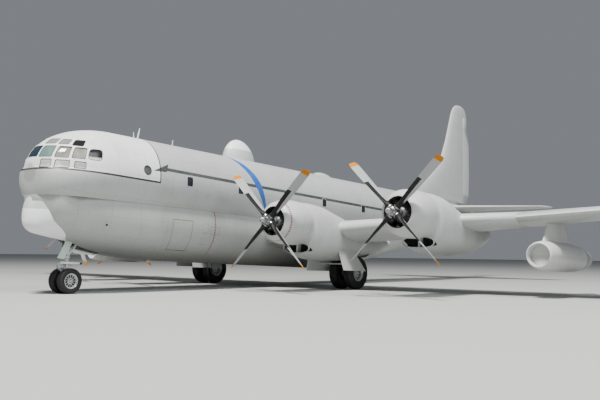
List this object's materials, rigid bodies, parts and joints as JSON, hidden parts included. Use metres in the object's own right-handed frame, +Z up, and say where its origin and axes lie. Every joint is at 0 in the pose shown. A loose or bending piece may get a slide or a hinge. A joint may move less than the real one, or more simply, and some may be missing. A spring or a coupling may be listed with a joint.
{
  "type": "military transport aircraft, scale model at 1:2",
  "caption": "Four-engine piston transport aircraft with a double-bubble fuselage and two underwing jet pods, parked on its gear.",
  "frame": {"origin": "on the ground, under the middle of the object's length, on its centreline", "axes": "+X forward to the nose, +Y to port, +Z up"},
  "size_m": [16.8556, 21.525, 5.8448],
  "materials": {
    "grey_paint": "satin",
    "white_paint": "satin",
    "radome_white": "matte",
    "engine_metal": "matte",
    "bare_metal": "satin",
    "blade_paint": "satin",
    "tyre_rubber": "matte",
    "window_glass": "gloss",
    "cabin_green": "matte",
    "seat_cloth": "matte"
  },
  "bodies": {
    "airframe": {"nose_shell": "white_paint", "cockpit_glazing": "window_glass", "upper_fuselage_forward": "grey_paint", "upper_fuselage_aft": "grey_paint", "tail_cone": "grey_paint", "lower_fuselage_forward": "grey_paint", "radome": "radome_white", "lower_fuselage_aft": "grey_paint", "flight_deck": "cabin_green", "pilot_seat_port": "seat_cloth", "pilot_seat_starboard": "seat_cloth", "nacelle_1": "grey_paint", "engine_1": "engine_metal", "nacelle_2": "grey_paint", "engine_2": "engine_metal", "nacelle_3": "grey_paint", "engine_3": "engine_metal", "nacelle_4": "grey_paint", "engine_4": "engine_metal", "jet_pod_port": "grey_paint", "wing_inner_port": "grey_paint", "wing_outer_port": "grey_paint", "main_gear_leg_port": "bare_metal", "main_gear_doors_port": "grey_paint", "jet_pod_starboard": "grey_paint", "wing_inner_starboard": "grey_paint", "wing_outer_starboard": "grey_paint", "main_gear_leg_starboard": "bare_metal", "main_gear_doors_starboard": "grey_paint", "fin": "grey_paint", "tailplane": "grey_paint", "nose_gear_leg": "bare_metal", "nose_gear_door": "cabin_green"},
    "cargo_door": {"cargo_door": "grey_paint"},
    "crew_door": {"crew_door": "grey_paint"},
    "rudder": {"rudder": "grey_paint"},
    "elevators": {"elevator_port": "grey_paint", "elevator_starboard": "grey_paint"},
    "nose_steering": {"nose_gear_fork": "bare_metal"},
    "nose_wheels": {"nose_wheels": "tyre_rubber"},
    "flaps_port": {"flap_inner_port": "grey_paint", "flap_middle_port": "grey_paint", "flap_outer_port": "grey_paint"},
    "aileron_port": {"aileron_port": "grey_paint"},
    "main_wheels_port": {"main_wheels_port": "tyre_rubber"},
    "flaps_starboard": {"flap_inner_starboard": "grey_paint", "flap_middle_starboard": "grey_paint", "flap_outer_starboard": "grey_paint"},
    "aileron_starboard": {"aileron_starboard": "grey_paint"},
    "main_wheels_starboard": {"main_wheels_starboard": "tyre_rubber"},
    "propeller_1": {"propeller_1": "blade_paint"},
    "propeller_2": {"propeller_2": "blade_paint"},
    "propeller_3": {"propeller_3": "blade_paint"},
    "propeller_4": {"propeller_4": "blade_paint"}
  },
  "joints": [
    {"name": "propeller_1_spin", "type": "hinge", "parent": "airframe", "child": "propeller_1", "pos_m": [4.21864, 4.775, 1.51607], "axis": [0.9994, 0, 0.0349], "continuous": true},
    {"name": "propeller_2_spin", "type": "hinge", "parent": "airframe", "child": "propeller_2", "pos_m": [4.55806, 2.17, 1.39536], "axis": [0.9994, 0, 0.0349], "continuous": true},
    {"name": "propeller_3_spin", "type": "hinge", "parent": "airframe", "child": "propeller_3", "pos_m": [4.55806, -2.17, 1.39536], "axis": [0.9994, 0, 0.0349], "continuous": true},
    {"name": "propeller_4_spin", "type": "hinge", "parent": "airframe", "child": "propeller_4", "pos_m": [4.21864, -4.775, 1.51607], "axis": [0.9994, 0, 0.0349], "continuous": true},
    {"name": "nose_steer", "type": "hinge", "parent": "airframe", "child": "nose_steering", "pos_m": [7.55943, 0, 0.54966], "axis": [-0.0349, 0, 0.9994], "range_deg": [-45, 45]},
    {"name": "nose_wheels_spin", "type": "hinge", "parent": "nose_steering", "child": "nose_wheels", "pos_m": [7.57066, 0, 0.22836], "axis": [0, 1, 0], "continuous": true},
    {"name": "main_wheels_port_spin", "type": "hinge", "parent": "airframe", "child": "main_wheels_port", "pos_m": [1.88275, 2.17, 0.35528], "axis": [0, 1, 0], "continuous": true},
    {"name": "main_wheels_starboard_spin", "type": "hinge", "parent": "airframe", "child": "main_wheels_starboard", "pos_m": [1.88275, -2.17, 0.35528], "axis": [0, 1, 0], "continuous": true},
    {"name": "cargo_door_hinge", "type": "hinge", "parent": "airframe", "child": "cargo_door", "pos_m": [5.23676, -0.6875, 2.58979], "axis": [-0.9994, 0, -0.0349], "range_deg": [0, 80]},
    {"name": "crew_door_hinge", "type": "hinge", "parent": "airframe", "child": "crew_door", "pos_m": [5.44392, 0.7425, 1.38629], "axis": [0.9994, 0, 0.0349], "range_deg": [0, 85]},
    {"name": "flaps_port_hinge", "type": "hinge", "parent": "airframe", "child": "flaps_port", "pos_m": [1.07745, 0.99, 1.05955], "axis": [0.0324, -0.997, -0.0704], "range_deg": [0, 45]},
    {"name": "flaps_starboard_hinge", "type": "hinge", "parent": "airframe", "child": "flaps_starboard", "pos_m": [1.07745, -0.99, 1.05955], "axis": [-0.0324, -0.997, 0.0704], "range_deg": [0, 45]},
    {"name": "aileron_port_hinge", "type": "hinge", "parent": "airframe", "child": "aileron_port", "pos_m": [0.93918, 6.325, 1.43737], "axis": [-0.0352, 0.9969, 0.0703], "range_deg": [-20, 20]},
    {"name": "aileron_starboard_hinge", "type": "hinge", "parent": "airframe", "child": "aileron_starboard", "pos_m": [0.93918, -6.325, 1.43737], "axis": [0.0352, 0.9969, -0.0703], "range_deg": [-20, 20]},
    {"name": "rudder_hinge", "type": "hinge", "parent": "airframe", "child": "rudder", "pos_m": [-7.84389, 0, 2.52289], "axis": [-0.008, 0, 1], "range_deg": [-25, 25]},
    {"name": "elevators_hinge", "type": "hinge", "parent": "airframe", "child": "elevators", "pos_m": [-7.52017, 0, 2.27905], "axis": [0, 1, 0], "range_deg": [-20, 25]}
  ],
  "couplings": [
    {"joint": "aileron_starboard_hinge", "follows": "aileron_port_hinge", "ratio": -1}
  ]
}
